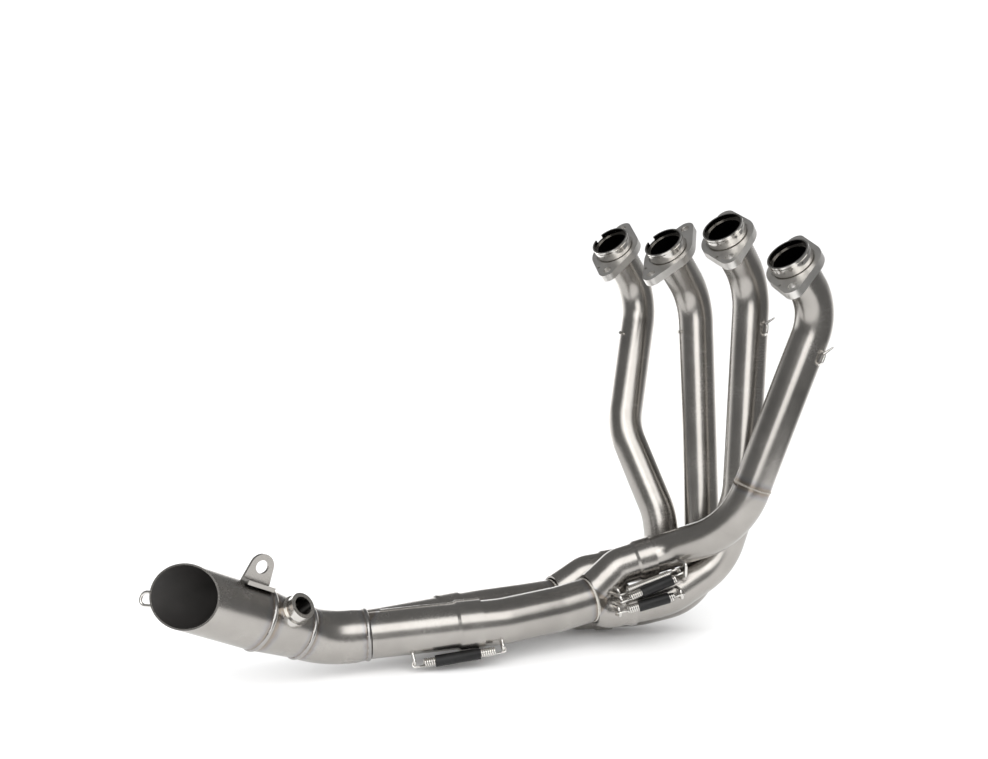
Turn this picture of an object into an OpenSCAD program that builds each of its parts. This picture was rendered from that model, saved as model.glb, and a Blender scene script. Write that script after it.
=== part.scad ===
// Motorcycle exhaust header, four into two into one, with loose port flanges and spring-held slip joints.
// Millimetres. X points to the front of the motorcycle, Y to its left, Z up. The floor it lies on is Z = 0.

/* [Head pipes] */
// Outside diameter of the four head pipes
pipe_od = 36; // [35:0.5:36.5]
// Wall of every pipe and socket
wall = 1.5; // [1.2:0.1:1.8]
// Distance from one port to the next
port_pitch = 78.7; // [78:0.1:79.5]
// Height of the first port above the floor
port_z = 394; // [390:1:398]
// Lean of the port axes from upright, towards the rear
port_tilt = 41.5; // [40:0.5:43]

/* [Port sleeves and flanges] */
// Outside diameter of a port sleeve
sleeve_od = 40; // [39.5:0.1:41]
// Length of the sleeve that stands above its flange
sleeve_reach = 12; // [10:0.5:14]
// Thickness of a flange
flange_t = 8; // [6:0.5:9]
// Distance between the two stud holes of a flange
stud_pitch = 66; // [64:1:70]
// Diameter of a stud hole
stud_hole_d = 8.5; // [7:0.5:9]

/* [Collectors] */
// Outside diameter of the two secondary pipes
second_od = 43; // [42:0.5:43.5]
// Play between a pipe and the socket it slides into, on the radius
slip_play = 0.15; // [0.1:0.05:0.3]
// How far a head pipe reaches into its socket
slip_depth = 16; // [14:1:17]

/* [Tail] */
// Outside diameter of the bend after the collector
bend_od = 49; // [48:0.5:50]
// Outside diameter of the outlet tube
outlet_od = 56; // [55:0.5:58]
// Rise of the outlet tube towards the rear
outlet_rise = 26.5; // [25:0.5:28]
// Angle of the slanted cut at the outlet, from square
mouth_cut = 34; // [28:1:36]

/* [Fittings] */
// Height of a weld bead above the pipe
bead_h = 1.3; // [0.8:0.1:1.6]
// Diameter of the sensor thread hole
sensor_hole_d = 17; // [16:0.5:18]
// Diameter of the hole in the hanger bracket
hanger_hole_d = 12; // [10:0.5:13]
// Diameter of the wire of the coil springs
spring_wire = 2; // [1.6:0.1:2.2]

/* [Hidden] */
$fn = 64;

steel = "#b9b4ab";
bright_steel = "#d6d3cd";
cast_satin = "#c4c1bb";
black_rubber = "#1c1c1d";

pipe_r = pipe_od / 2;
second_r = second_od / 2;
big = 120;

// Directions and places
function unit(v) = v / norm(v);
function mix(a, b, t) = a + (b - a) * t;
function square_to(d, hint) = unit(hint - (hint * d) * d);
function turn(a, v, b) = acos(unit(v - a) * unit(b - v));
function bend_start(a, v, b, r) = v - unit(v - a) * r * tan(turn(a, v, b) / 2);
function bend_end(a, v, b, r) = v + unit(b - v) * r * tan(turn(a, v, b) / 2);

// Ports, from the left pipe to the right one: place, lean to the side, length down to the first bend
port_lift = [0, 0, 16, -7];
port_lean = [-3, -1.5, -3, 3];
port_drop = [80, 78, 76, 70];
first_port_x = 218;
first_port_y = 106;
port_step_x = 1.7;
function axis_at(i) = unit([-sin(port_tilt), tan(port_lean[i]), cos(port_tilt)]);
function port(i) = [first_port_x - port_step_x * i, first_port_y - port_pitch * i, port_z + port_lift[i]];
function first_bend(i) = port(i) - axis_at(i) * port_drop[i];
// The head pipe starts this far inside the mouth of its sleeve
pipe_inset = 6;
function pipe_top(i) = port(i) - axis_at(i) * pipe_inset;

// Y collectors: the centre of the weld ring, the way to the secondary pipe,
// and for each leg its knee, the mouth of its socket and how much shallower the socket is
near_ring = [111, 16, 48];
near_upper = [[141, 7, 78], [172, -9, 87], 0];
near_lower = [[127, 6, 37], [148, -6, 41], 10];
far_ring = [114, 75, 31];
far_upper = [[147, 62, 57], [179, 46, 61], 0];
far_lower = [[134, 59, 19], [163, 40.5, 20.3], 0];
near_turn = [79, 24.5, 43];
far_turn = [83, 81.3, 31];
near_ring_dir = unit(near_turn - near_ring);
far_ring_dir = unit(far_turn - far_ring);
knee_bend = 22;
knee_bend_low = 21;
leg_root_r = second_r - 2;
leg_root_drop = 3;
socket_step = 3;
// End of a head pipe, on the step inside its socket
function pipe_stop(leg) = leg[1] + unit(leg[0] - leg[1]) * (slip_depth - leg[2]);
// A point in front of a socket mouth, on its axis
function ahead(leg, distance) = leg[1] + unit(leg[1] - leg[0]) * distance;

// Centre lines of the head pipes, from the port sleeve down to the socket
path_1 = [pipe_top(0), first_bend(0), [218, 81, 198], [224, 33, 115], ahead(far_upper, 51), pipe_stop(far_upper)];
bends_1 = [55, 70, 60, 30];
path_2 = [pipe_top(1), first_bend(1), [247, -11, 36], ahead(far_lower, 30), pipe_stop(far_lower)];
bends_2 = [60, 50, 100];
path_3 = [pipe_top(2), first_bend(2), [242.5, -60, 148.5], [227.5, -47, 79.5], ahead(near_lower, 38), pipe_stop(near_lower)];
bends_3 = [60, 80, 60, 80];
path_4 = [pipe_top(3), first_bend(3), [204.4, -87.8, 127], ahead(near_upper, 16), pipe_stop(near_upper)];
bends_4 = [50, 88, 45];
path_4_weld = bend_start(path_4[1], path_4[2], path_4[3], bends_4[1]);

// Two-into-one collector: the mouths of its sockets and the weld where its branches meet
near_mouth = [3, 49, 38];
far_mouth = [11, 97, 31];
merge = [-92, 97, 35];
tail_knee = [-128, 112, 34];
merge_dir = unit(tail_knee - merge);
merge_side = unit(cross([0, 0, 1], merge_dir));
merge_spread = 3.5;
near_end = merge + merge_side * merge_spread;
far_end = merge - merge_side * merge_spread;
second_socket = 22;
second_slip = 12;
near_way = unit(near_end - near_mouth);
far_way = unit(far_end - far_mouth);
near_second_path = [near_ring, near_turn, near_mouth - near_way * 20, near_mouth + near_way * second_slip];
far_second_path = [far_ring, far_turn, far_mouth - far_way * 20, far_mouth + far_way * second_slip];
second_bends = [80, 80];

// Tail: the outlet direction and the distances of its welds and mouth from the knee
outlet_dir = unit([-cos(outlet_rise), 0.02, sin(outlet_rise)]);
outlet_top = square_to(outlet_dir, [0, 0, 1]);
outlet_left = cross(outlet_dir, outlet_top);
tail_bend_r = 80;
merge_r = 23;
weld_2_at = 32;
weld_1_at = 73;
mouth_at = 150.5;
function tail_at(distance) = tail_knee + outlet_dir * distance;
mouth_normal = unit(outlet_dir * cos(mouth_cut) + [0, -1, 0.1] * sin(mouth_cut));

// Local frames: z along d, and x along the hint where one is given
module place(p, d, hint = [0, 0, 1]) {
    z = unit(d);
    x = norm(cross(hint, z)) > 0.01 ? square_to(z, hint) : square_to(z, [1, 0, 0]);
    y = cross(z, x);
    multmatrix([[x.x, y.x, z.x, p.x], [x.y, y.y, z.y, p.y], [x.z, y.z, z.z, p.z], [0, 0, 0, 1]])
        children();
}

module annulus(outer, inner) {
    difference() {
        circle(outer);
        if (inner > 0) circle(inner);
    }
}

module straight(from, to, outer, inner = 0) {
    place(from, to - from) linear_extrude(norm(to - from)) annulus(outer, inner);
}

module taper(from, to, r_from, r_to) {
    place(from, to - from) cylinder(h = norm(to - from), r1 = r_from, r2 = r_to);
}

// Neighbouring lengths of one pipe overlap by the lap, and a bend is thinner by the ease, so they join cleanly
lap = 0.1;
ease = 0.02;

// One bend of radius r at the corner v of the centre line a-v-b
module bend(a, v, b, r, outer, inner = 0) {
    ahead_a = unit(v - a);
    side = square_to(ahead_a, unit(b - v));
    start = bend_start(a, v, b, r);
    place(start + side * r, cross(-side, ahead_a), -side)
        rotate_extrude(angle = turn(a, v, b)) translate([r, 0])
            annulus(outer - ease, inner > 0 ? inner + ease : 0);
}

// A bent pipe, or a bent rod where inner is 0
module bent_pipe(path, bends, outer, inner = 0) {
    last = len(path) - 1;
    for (i = [0 : last - 1]) {
        way = unit(path[i + 1] - path[i]) * lap;
        from = i == 0 ? path[0] : bend_end(path[i - 1], path[i], path[i + 1], bends[i - 1]) - way;
        to = i == last - 1 ? path[last] : bend_start(path[i], path[i + 1], path[i + 2], bends[i]) + way;
        straight(from, to, outer, inner);
    }
    for (i = [1 : last - 1]) bend(path[i - 1], path[i], path[i + 1], bends[i - 1], outer, inner);
}

// Weld bead of rounded section round a pipe of radius r
bead_half = 2.2;
module bead(p, d, r) {
    round_r = (bead_h * bead_h + bead_half * bead_half) / (2 * bead_h);
    place(p, d) rotate_extrude() intersection() {
        translate([r + bead_h - round_r, 0]) circle(round_r);
        translate([r - 0.5, -bead_half]) square([2 * bead_h + 0.5, 2 * bead_half]);
    }
}

// Everything on the far side of the plane through p with normal d
module beyond(p, d) {
    place(p, d) translate([-big, -big, 0]) cube([2 * big, 2 * big, 2 * big]);
}

// Head pipes
module head_pipe(path, bends) {
    color(steel) bent_pipe(path, bends, pipe_r, pipe_r - wall);
}
module head_pipe_1() { head_pipe(path_1, bends_1); }
module head_pipe_2() { head_pipe(path_2, bends_2); }
module head_pipe_3() { head_pipe(path_3, bends_3); }
module head_pipe_4_upper() {
    color(steel) union() {
        bent_pipe([path_4[0], path_4[1], path_4_weld], [bends_4[0]], pipe_r, pipe_r - wall);
        bead(path_4_weld - unit(path_4[2] - path_4[1]) * (bead_half + 0.3), path_4[2] - path_4[1], pipe_r);
    }
}
module head_pipe_4_lower() {
    bent_end = bend_end(path_4[1], path_4[2], path_4[3], bends_4[1]);
    way = unit(path_4[3] - path_4[2]) * lap;
    color(steel) union() {
        bend(path_4[1], path_4[2], path_4[3], bends_4[1], pipe_r, pipe_r - wall);
        bent_pipe([bent_end - way, path_4[3], path_4[4]], [bends_4[2]], pipe_r, pipe_r - wall);
    }
}

// Turned sleeve welded on the end of a head pipe: its shoulder holds the flange
sleeve_neck_r = pipe_r + 1;
sleeve_length = sleeve_reach + flange_t + 3;
sleeve_seat = 1.5;
module port_sleeve(i, notch) {
    sleeve_r = sleeve_od / 2;
    color(bright_steel) difference() {
        place(port(i), -axis_at(i)) rotate_extrude() difference() {
            union() {
                square([sleeve_r, sleeve_reach + sleeve_seat]);
                square([sleeve_neck_r, sleeve_length]);
            }
            translate([0, -1]) square([pipe_r + 0.3, pipe_inset + 1]);
            square([pipe_r, sleeve_length + 1]);
            translate([sleeve_r - 0.6, 1.6]) square([1, 1.2]);
        }
        if (notch)
            place(port(i), -axis_at(i), [0, 1, 0.2]) translate([pipe_r - 4, -4, -1]) cube([10, 8, 5]);
        else
            place(port(i), -axis_at(i), [-0.5, -1, 0]) translate([0, 0, 5]) rotate([0, 90, 0])
                cylinder(h = sleeve_od, r = 1.2);
    }
}
module port_sleeve_1() { port_sleeve(0, true); }
module port_sleeve_2() { port_sleeve(1, true); }
module port_sleeve_3() { port_sleeve(2, false); }
module port_sleeve_4() { port_sleeve(3, false); }

// Loose cast flange with two stud holes, a small third hole and a recess for the sleeve
flange_tip_r = 9.5;
flange_waist_r = 26.5;
// Turn of each flange on its sleeve, upper stud towards the left
flange_turn = [22, 2, 37, 30];
function flange_way(i) = square_to(axis_at(i), [cos(port_tilt), tan(flange_turn[i]), sin(port_tilt)]);
module flange_outline() {
    hull() {
        circle(flange_waist_r);
        for (s = [-1, 1]) translate([s * stud_pitch / 2, 0]) circle(flange_tip_r);
    }
}
module port_flange(i) {
    color(cast_satin)
        place(port(i) - axis_at(i) * (sleeve_reach + flange_t), axis_at(i), flange_way(i)) difference() {
            linear_extrude(flange_t) flange_outline();
            translate([0, 0, -1]) cylinder(h = flange_t + 2, r = sleeve_neck_r + 0.4);
            translate([0, 0, flange_t - sleeve_seat]) cylinder(h = flange_t, r = sleeve_od / 2 + 1.2);
            for (s = [-1, 1])
                translate([s * stud_pitch / 2, 0, -1]) cylinder(h = flange_t + 2, d = stud_hole_d);
            translate([-stud_pitch / 2 + 7, 12, -1]) cylinder(h = flange_t + 2, r = 1.4);
        }
}
module port_flange_1() { port_flange(0); }
module port_flange_2() { port_flange(1); }
module port_flange_3() { port_flange(2); }
module port_flange_4() { port_flange(3); }

// Leg of a Y collector, as a solid: root at the weld ring, knee, step and socket
module leg_solid(ring, leg, shift, knee_r, thin) {
    knee = leg[0];
    mouth = leg[1];
    root = ring + shift;
    tube_r = pipe_r - thin;
    socket_r = pipe_r + slip_play + wall - thin;
    in_way = unit(knee - root);
    out_way = unit(mouth - knee);
    knee_in = bend_start(root, knee, mouth, knee_r);
    knee_out = bend_end(root, knee, mouth, knee_r);
    depth = slip_depth - leg[2];
    step = mouth - out_way * (depth + socket_step);
    straight(root - in_way * 30, root + in_way * lap, leg_root_r - thin - 0.05);
    taper(root, knee_in + in_way * lap, leg_root_r - thin, tube_r + ease);
    bend(root, knee, mouth, knee_r, tube_r);
    if (thin == 0) {
        straight(knee_out - out_way * lap, step + out_way * lap, tube_r);
        taper(step, step + out_way * socket_step, tube_r + ease, socket_r - 0.05);
        straight(step + out_way * (socket_step - lap), mouth, socket_r);
    } else {
        straight(knee_out - out_way * lap, mouth, tube_r);
        straight(mouth - out_way * depth, mouth + out_way * 5, socket_r);
    }
}
function crotch(ring, a, b) = unit(unit(a[0] - ring) - unit(b[0] - ring));
module y_leg(ring, ring_dir, own, other, knee_r) {
    split = crotch(ring, own, other);
    color(steel) difference() {
        leg_solid(ring, own, split * leg_root_drop, knee_r, 0);
        leg_solid(ring, own, split * leg_root_drop, knee_r, wall);
        beyond(ring, ring_dir);
        beyond(ring, -split);
    }
}
module near_leg_upper() { y_leg(near_ring, near_ring_dir, near_upper, near_lower, knee_bend); }
module near_leg_lower() { y_leg(near_ring, near_ring_dir, near_lower, near_upper, knee_bend_low); }
module far_leg_upper() { y_leg(far_ring, far_ring_dir, far_upper, far_lower, knee_bend); }
module far_leg_lower() { y_leg(far_ring, far_ring_dir, far_lower, far_upper, knee_bend_low); }

// Secondary pipes with the weld bead of their Y collector
module secondary(path, ring_dir) {
    color(steel) union() {
        bent_pipe(path, second_bends, second_r, second_r - wall);
        bead(path[0] + ring_dir * bead_half, ring_dir, second_r);
    }
}
module near_secondary() { secondary(near_second_path, near_ring_dir); }
module far_secondary() { secondary(far_second_path, far_ring_dir); }

// Branch of the two-into-one collector: socket, step and tube up to the merge weld
module branch_solid(mouth, end, thin) {
    way = unit(end - mouth);
    tube_r = second_r - thin;
    socket_r = second_r + slip_play + wall - thin;
    if (thin == 0) {
        straight(mouth, mouth + way * (second_socket + lap), socket_r);
        taper(mouth + way * second_socket, mouth + way * (second_socket + socket_step), socket_r - 0.05,
            tube_r + ease);
        straight(mouth + way * (second_socket + socket_step - lap), end + way * 30, tube_r);
    } else {
        straight(mouth - way * 5, mouth + way * second_socket, socket_r);
        straight(mouth, end + way * 30, tube_r);
    }
}
module branch(mouth, end, side) {
    color(steel) difference() {
        branch_solid(mouth, end, 0);
        branch_solid(mouth, end, wall);
        beyond(merge, merge_dir);
        beyond(merge, side);
    }
}
module near_branch() { branch(near_mouth, near_end, -merge_side); }
module far_branch() { branch(far_mouth, far_end, merge_side); }

// Bend after the collector: a short flare from the merge weld, then the bend up to the cone
module tail_bend_solid(thin) {
    stop = tail_at(weld_2_at);
    start = bend_start(merge, tail_knee, stop, tail_bend_r);
    bend_r = bend_od / 2 - thin;
    more = thin > 0 ? 5 : 0;
    taper(merge, start + merge_dir * lap, merge_r - thin, bend_r + ease);
    if (thin > 0) straight(merge - merge_dir * more, merge + merge_dir * lap, merge_r - thin - 0.05);
    bend(merge, tail_knee, stop, tail_bend_r, bend_r);
    straight(bend_end(merge, tail_knee, stop, tail_bend_r) - outlet_dir * lap, stop + outlet_dir * more, bend_r);
}
module tail_bend() {
    color(steel) difference() {
        union() {
            tail_bend_solid(0);
            bead(merge + merge_dir * bead_half, merge_dir, merge_r + 0.2);
            bead(tail_at(weld_2_at - bead_half), outlet_dir, bend_od / 2);
        }
        tail_bend_solid(wall);
    }
}

// Cone that widens to the outlet tube, with the hole under the sensor boss
boss_at = 56;
boss_way = unit(-outlet_left * 0.76 + outlet_top * 0.65);
boss_base = tail_at(boss_at);
module tail_cone() {
    r_small = bend_od / 2;
    r_large = outlet_od / 2;
    color(steel) difference() {
        taper(tail_at(weld_2_at), tail_at(weld_1_at), r_small, r_large);
        taper(tail_at(weld_2_at - 0.01), tail_at(weld_1_at + 0.01), r_small - wall, r_large - wall);
        place(boss_base, boss_way) cylinder(h = big, d = sensor_hole_d);
    }
}

// Threaded boss for the sensor, with a wide foot that fits the cone
boss_od = 24.5;
boss_foot_od = 28;
boss_reach = 40;
boss_foot_reach = 30;
module sensor_boss() {
    color(bright_steel) difference() {
        place(boss_base, boss_way) {
            translate([0, 0, 12]) cylinder(h = boss_reach - 12, d = boss_od);
            translate([0, 0, 12]) cylinder(h = boss_foot_reach - 12, d = boss_foot_od);
        }
        taper(tail_at(weld_2_at), tail_at(weld_1_at), bend_od / 2, outlet_od / 2);
        place(boss_base, boss_way) cylinder(h = big, d = sensor_hole_d);
    }
}

// Outlet tube with its slanted mouth and the weld to the cone
module outlet_tube() {
    outlet_r = outlet_od / 2;
    color(steel) union() {
        difference() {
            straight(tail_at(weld_1_at), tail_at(mouth_at + 40), outlet_r, outlet_r - wall);
            beyond(tail_at(mouth_at), mouth_normal);
        }
        bead(tail_at(weld_1_at + bead_half), outlet_dir, outlet_r);
    }
}

// Folded bracket on top of the outlet tube: a foot and an upright ear with a round hole
ear_t = 3;
ear_width = 28;
ear_top_r = 11.5;
ear_hole_up = 17;
foot_width = 12;
bracket_at = 92;
module ear_outline() {
    hull() {
        translate([-ear_width / 2, 0]) square([ear_width, 2]);
        translate([0, ear_hole_up]) circle(ear_top_r);
    }
}
module hanger_bracket() {
    color(steel) difference() {
        place(tail_at(bracket_at) + outlet_top * (outlet_od / 2 - 1), outlet_left, -outlet_dir)
            translate([0, 0, -ear_t / 2]) {
                linear_extrude(ear_t) rotate(180) difference() {
                    ear_outline();
                    translate([0, ear_hole_up]) circle(d = hanger_hole_d);
                }
                translate([-ear_width / 2, -ear_t - 1, -foot_width]) cube([ear_width, ear_t + 1, foot_width + 1]);
            }
        straight(tail_at(weld_1_at), tail_at(mouth_at), outlet_od / 2);
    }
}

// Wire loop on the far side of the outlet tube, at its tip
loop_wire_r = 1.5;
loop_width = 12;
spring_loop_width = 9;
outlet_loop_root = [-266, 135, 93];
outlet_loop_way = unit([-0.62, 0.78, 0]);
function staple(root, out, along, width = loop_width) = [
    root - along * width / 2, root - along * width / 2 + out,
    root + along * width / 2 + out, root + along * width / 2
];
module outlet_loop() {
    color(bright_steel) difference() {
        bent_pipe(staple(outlet_loop_root, outlet_loop_way * 29, outlet_top), [5, 5], loop_wire_r);
        straight(tail_at(weld_1_at), tail_at(mouth_at + 40), outlet_od / 2);
    }
}

// Small hooks on the head pipes 3 and 4: a wire eye with a finger that points forwards
finger_way = unit([0.8, -0.3, 0.5]);
module side_hook(root, out, along, path, bends) {
    corner = root + out + along * loop_width / 2;
    color(bright_steel) difference() {
        union() {
            bent_pipe(staple(root, out, along), [4, 4], loop_wire_r);
            taper(corner - finger_way * 3, corner + finger_way * 9, loop_wire_r, 0.7);
        }
        bent_pipe(path, bends, pipe_r);
    }
}
module side_hook_3() {
    side_hook([260, -50.3, 312], [-1, -22, 0], unit(path_3[1] - path_3[2]), path_3, bends_3);
}
module side_hook_4() {
    side_hook([248.5, -124.7, 294], [0, -22, -3], unit(path_4[1] - path_4[2]), path_4, bends_4);
}

// Short pins on the head pipes 1 and 2
module pipe_stubs() {
    color(bright_steel) {
        pin([253.5, 100.5, 289.2], [-0.93, 0.19, 0.32], path_1, bends_1);
        pin([265.9, 24.7, 301.3], [-0.95, 0.3, 0.02], path_2, bends_2);
    }
}
module pin(root, out, path, bends) {
    difference() {
        straight(root, root + unit(out) * 22, 1.6);
        bent_pipe(path, bends, pipe_r);
    }
}

// Springs: each one is hooked over the bars of two wire loops, its eyes
upper_eyes = [[122, -19.5, 54], [175.5, -48.5, 76.5]];
lower_eyes = [[119, -19.5, 43.5], [171.5, -50, 58.5]];
inner_eyes = [[125.5, -11.8, 58.4], [179, -37, 76.5]];
under_eyes = [[-62, 64, 8.5], [10.5, 24, 18]];
// Points on the pipe axes that the loops stand out from
ring_root_upper = [123, 9, 55];
ring_root_inner = [125, 11, 62];
ring_root_lower = [126, 7, 41];
pipe_4_root = [183, -15, 94];
pipe_3_root = [183, -27, 56];
branch_root = [-61, 79, 36];
secondary_root = [18, 42, 38.5];
module wire_loop(root, eye, eyes) {
    along = unit(cross(eye - root, eyes[1] - eyes[0]));
    bent_pipe(staple(root, eye - root, along, spring_loop_width), [3, 3], loop_wire_r);
}
module near_legs_solid() {
    split = crotch(near_ring, near_upper, near_lower);
    leg_solid(near_ring, near_upper, split * leg_root_drop, knee_bend, 0);
    leg_solid(near_ring, near_lower, -split * leg_root_drop, knee_bend_low, 0);
}
module ring_loop_upper() {
    color(bright_steel) difference() {
        union() {
            wire_loop(ring_root_upper, upper_eyes[0], upper_eyes);
            wire_loop(ring_root_inner, inner_eyes[0], inner_eyes);
        }
        near_legs_solid();
    }
}
module ring_loop_lower() {
    color(bright_steel) difference() {
        wire_loop(ring_root_lower, lower_eyes[0], lower_eyes);
        near_legs_solid();
    }
}
module pipe_loop_4() {
    bar = unit(upper_eyes[1] - inner_eyes[1]);
    tip = upper_eyes[1] + bar * 4;
    color(bright_steel) difference() {
        bent_pipe([inner_eyes[1] - bar * 22, tip, tip + [0, 0, 12], pipe_4_root], [3, 3], loop_wire_r);
        bent_pipe(path_4, bends_4, pipe_r);
    }
}
module pipe_loop_3() {
    color(bright_steel) difference() {
        wire_loop(pipe_3_root, lower_eyes[1], lower_eyes);
        bent_pipe(path_3, bends_3, pipe_r);
    }
}
module branch_loop() {
    color(bright_steel) difference() {
        wire_loop(branch_root, under_eyes[0], under_eyes);
        branch_solid(near_mouth, near_end, 0);
    }
}
module secondary_loop() {
    color(bright_steel) difference() {
        wire_loop(secondary_root, under_eyes[1], under_eyes);
        bent_pipe(near_second_path, second_bends, second_r);
    }
}

// Coil spring drawn as a ribbed tube, with an open hook at each end
coil_r = 4.3;
coil_margin = 8;
open_turns = 4;
rubber = 1;
module spring(eyes, roots) {
    wire_r = spring_wire / 2;
    length = norm(eyes[1] - eyes[0]);
    d = unit(eyes[1] - eyes[0]);
    pitch = spring_wire * 0.94;
    hook_r = loop_wire_r + wire_r;
    color(bright_steel) union() {
        place(eyes[0], d) rotate_extrude() {
            translate([coil_r - spring_wire, coil_margin + wire_r])
                square([spring_wire - 0.3, length - 2 * coil_margin - spring_wire]);
            for (i = [0 : open_turns - 1], z = [coil_margin + wire_r + i * pitch])
                for (zz = [z, length - z]) translate([coil_r - wire_r, zz]) circle(wire_r, $fn = 24);
        }
        for (k = [0, 1]) {
            way = k == 0 ? d : -d;
            out = square_to(d, eyes[k] - roots[k]);
            start = eyes[k] + way * (coil_margin + 1.6) + out * (hook_r + 0.4);
            corner = eyes[k] + out * hook_r - way * hook_r;
            bent_pipe([start, corner, corner - out * hook_r * 2, eyes[k] - out * hook_r + way],
                [hook_r * 0.95, hook_r * 0.95], wire_r);
        }
    }
}
module spring_upper() { spring(upper_eyes, [ring_root_upper, upper_eyes[1] - [0, 0, 9]]); }
module spring_lower() { spring(lower_eyes, [ring_root_lower, pipe_3_root]); }
module spring_inner() { spring(inner_eyes, [ring_root_inner, inner_eyes[1] - [0, 0, 9]]); }
module spring_under() { spring(under_eyes, [branch_root, secondary_root]); }

// Rubber sleeve over the middle of a spring
module sleeve(eyes, from, to) {
    length = norm(eyes[1] - eyes[0]);
    d = unit(eyes[1] - eyes[0]);
    color(black_rubber) straight(eyes[0] + d * from, eyes[1] - d * to, coil_r + rubber, coil_r);
}
module sleeve_upper() { sleeve(upper_eyes, 20, 12); }
module sleeve_lower() { sleeve(lower_eyes, 19, 13); }
module sleeve_under() { sleeve(under_eyes, 19, 22); }

head_pipe_1();
head_pipe_2();
head_pipe_3();
head_pipe_4_upper();
head_pipe_4_lower();
port_sleeve_1();
port_sleeve_2();
port_sleeve_3();
port_sleeve_4();
port_flange_1();
port_flange_2();
port_flange_3();
port_flange_4();
near_leg_upper();
near_leg_lower();
far_leg_upper();
far_leg_lower();
near_secondary();
far_secondary();
near_branch();
far_branch();
tail_bend();
tail_cone();
outlet_tube();
sensor_boss();
hanger_bracket();
outlet_loop();
side_hook_3();
side_hook_4();
pipe_stubs();
pipe_loop_3();
pipe_loop_4();
ring_loop_upper();
ring_loop_lower();
spring_upper();
spring_lower();
spring_inner();
sleeve_upper();
sleeve_lower();
branch_loop();
secondary_loop();
spring_under();
sleeve_under();
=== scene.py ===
# %% [markdown]
# A motorcycle exhaust header: four bent head pipes run from the engine's ports
# down into two Y collectors, and on through a two-into-one collector to one
# outlet tube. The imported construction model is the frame: every piece that is
# made here lies exactly where that model has it.

# %% Load the frame
import math

import bpy
from mathutils import Matrix, Vector


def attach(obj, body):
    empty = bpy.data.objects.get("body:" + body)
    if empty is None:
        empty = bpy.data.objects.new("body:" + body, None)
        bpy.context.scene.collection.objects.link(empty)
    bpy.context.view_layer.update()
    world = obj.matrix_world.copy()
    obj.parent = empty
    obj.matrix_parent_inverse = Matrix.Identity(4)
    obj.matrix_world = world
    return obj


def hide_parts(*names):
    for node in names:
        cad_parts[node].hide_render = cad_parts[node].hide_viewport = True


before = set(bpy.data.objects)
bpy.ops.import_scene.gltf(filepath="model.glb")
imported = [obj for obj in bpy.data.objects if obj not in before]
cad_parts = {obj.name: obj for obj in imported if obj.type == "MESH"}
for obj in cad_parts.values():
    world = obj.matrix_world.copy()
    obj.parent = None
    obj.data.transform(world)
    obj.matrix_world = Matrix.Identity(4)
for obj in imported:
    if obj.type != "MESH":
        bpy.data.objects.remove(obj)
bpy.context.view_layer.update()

BODY = "root"
MM = 0.001

# %% [markdown]
# The camera stands where the photographer stood: behind the right-hand side of
# the header, low, and looking slightly down. It is written as a place, a turn
# and a dip, because these came from fitting known circles and parallel pipes.

# %% Camera
CAMERA_PLACE = Vector((-660, -820, 425)) * MM
CAMERA_TURN = math.radians(-38)
CAMERA_DIP = math.radians(8)
LENS = 43.72
SENSOR_WIDTH = 36

right = Vector((math.cos(CAMERA_TURN), math.sin(CAMERA_TURN), 0))
level = Vector((-math.sin(CAMERA_TURN), math.cos(CAMERA_TURN), 0))
look = level * math.cos(CAMERA_DIP) - Vector((0, 0, 1)) * math.sin(CAMERA_DIP)
upward = right.cross(look)
camera_data = bpy.data.cameras.new("camera")
camera_data.lens = LENS
camera_data.sensor_width = SENSOR_WIDTH
camera = bpy.data.objects.new("camera", camera_data)
camera.matrix_world = Matrix((
    (right.x, upward.x, -look.x, CAMERA_PLACE.x),
    (right.y, upward.y, -look.y, CAMERA_PLACE.y),
    (right.z, upward.z, -look.z, CAMERA_PLACE.z),
    (0, 0, 0, 1)))
bpy.context.scene.collection.objects.link(camera)
bpy.context.scene.camera = camera

# %% [markdown]
# Small helpers for node trees keep the material cells short. A socket is always
# found by its name on a fresh node, and linked by the pair of sockets.

# %% Node helpers


def new_group(name, inputs, outputs, kind="ShaderNodeTree"):
    """A node group with named inputs and outputs."""
    group = bpy.data.node_groups.new(name, kind)
    for title, socket, default in inputs:
        item = group.interface.new_socket(name=title, in_out="INPUT", socket_type=socket)
        if default is not None:
            item.default_value = default
    for title, socket in outputs:
        group.interface.new_socket(name=title, in_out="OUTPUT", socket_type=socket)
    return group, group.nodes.new("NodeGroupInput"), group.nodes.new("NodeGroupOutput")


def add(tree, kind, settings=None, **values):
    """A node with its properties set, and its inputs by index ("i0") or by name."""
    node = tree.nodes.new(kind)
    for key, value in (settings or {}).items():
        setattr(node, key, value)
    for key, value in values.items():
        socket = node.inputs[int(key[1:])] if key[1:].isdigit() else node.inputs[key.replace("_", " ")]
        if isinstance(value, bpy.types.NodeSocket):
            tree.links.new(value, socket)
        else:
            socket.default_value = value
    return node


def maths(tree, operation, a, b=0.0, c=0.0):
    return add(tree, "ShaderNodeMath", {"operation": operation}, i0=a, i1=b, i2=c).outputs[0]


def ramp(tree, factor, stops):
    """A colour ramp through (place, colour) stops."""
    node = add(tree, "ShaderNodeValToRGB", None, i0=factor)
    elements = node.color_ramp.elements
    while len(elements) < len(stops):
        elements.new(0.5)
    for element, (place, colour) in zip(elements, stops):
        element.position = place
        element.color = (*colour, 1) if len(colour) == 3 else colour
    return node.outputs[0]


# %% [markdown]
# Stainless pipe is polished on a belt, so it carries fine lines round the pipe
# and cloudier patches along it. The lines follow an attribute named "along",
# which is the length along the pipe in metres. A piece that has no such
# attribute only shows the clouds and the fine grain.

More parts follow.
